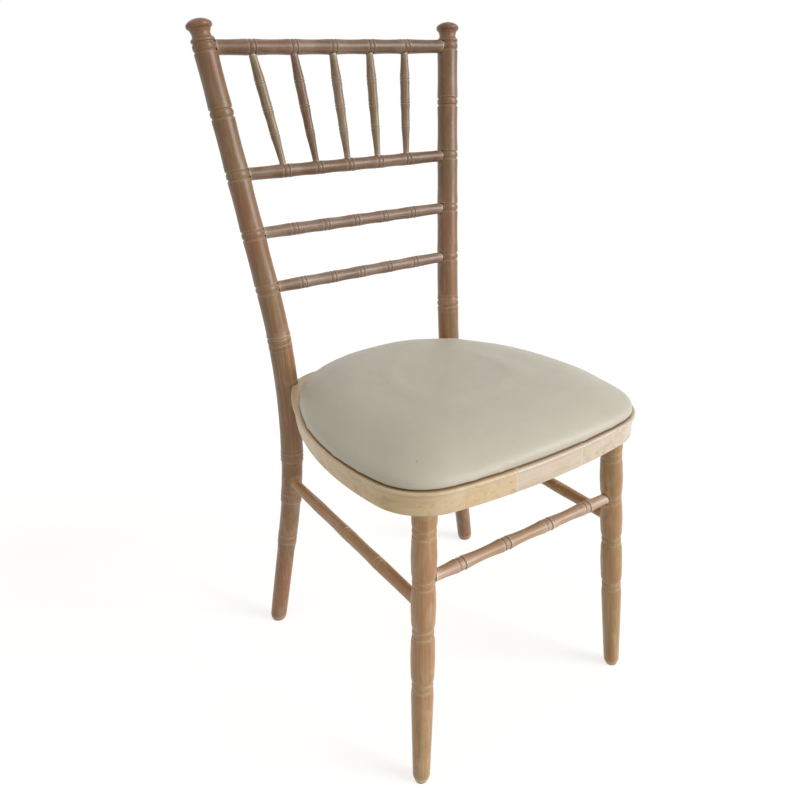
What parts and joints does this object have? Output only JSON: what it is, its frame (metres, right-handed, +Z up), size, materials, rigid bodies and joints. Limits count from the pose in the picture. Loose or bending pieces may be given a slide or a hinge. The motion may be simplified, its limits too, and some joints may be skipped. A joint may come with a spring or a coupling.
{
  "type": "chiavari chair",
  "caption": "Turned bamboo-style banquet chair with a spindle back, splayed ringed legs, a curved seat frame and a lift-off upholstered pad.",
  "frame": {"origin": "on the floor, at the centre of the chair's plan box", "axes": "+Z up, the seat's front faces -Y, +X to the right as seen from the front"},
  "size_m": [0.4316, 0.4818, 0.9204],
  "materials": {
    "post_wood": "limewashed beech, satin",
    "rail_wood": "limewashed beech, satin",
    "spindle_wood": "limewashed beech, satin",
    "leg_wood": "limewashed beech, satin",
    "stretcher_wood": "limewashed beech, satin",
    "frame_wood": "limewashed beech, satin",
    "plywood": "bare birch plywood",
    "screw_steel": "zinc plated",
    "hook_tape": "stiff nylon hooks",
    "loop_tape": "soft nylon loops",
    "foam": "open-cell foam",
    "cover_cloth": "smooth coated ivory cloth",
    "staple_wire": "galvanised wire"
  },
  "bodies": {
    "chair": {"rear_post_left": "post_wood", "rear_post_right": "post_wood", "top_rail": "rail_wood", "gallery_rail": "rail_wood", "mid_rail_upper": "rail_wood", "mid_rail_lower": "rail_wood", "spindle_1": "spindle_wood", "spindle_2": "spindle_wood", "spindle_3": "spindle_wood", "spindle_4": "spindle_wood", "spindle_5": "spindle_wood", "front_leg_left": "leg_wood", "front_leg_right": "leg_wood", "front_stretcher": "stretcher_wood", "side_stretcher_left": "stretcher_wood", "side_stretcher_right": "stretcher_wood", "frame_front": "frame_wood", "frame_corner_left": "frame_wood", "frame_corner_right": "frame_wood", "frame_side_left": "frame_wood", "frame_side_right": "frame_wood", "frame_rear": "frame_wood", "seat_panel": "plywood", "panel_screws": "screw_steel", "post_screws": "screw_steel", "hook_tapes": "hook_tape"},
    "seat_pad": {"pad_board": "plywood", "pad_foam": "foam", "pad_cover": "cover_cloth", "pad_staples": "staple_wire", "loop_tapes": "loop_tape"}
  },
  "joints": [
    {"name": "pad_lift", "type": "slide", "parent": "chair", "child": "seat_pad", "axis": [0, 0, 1], "range_m": [0, 0.08]}
  ]
}
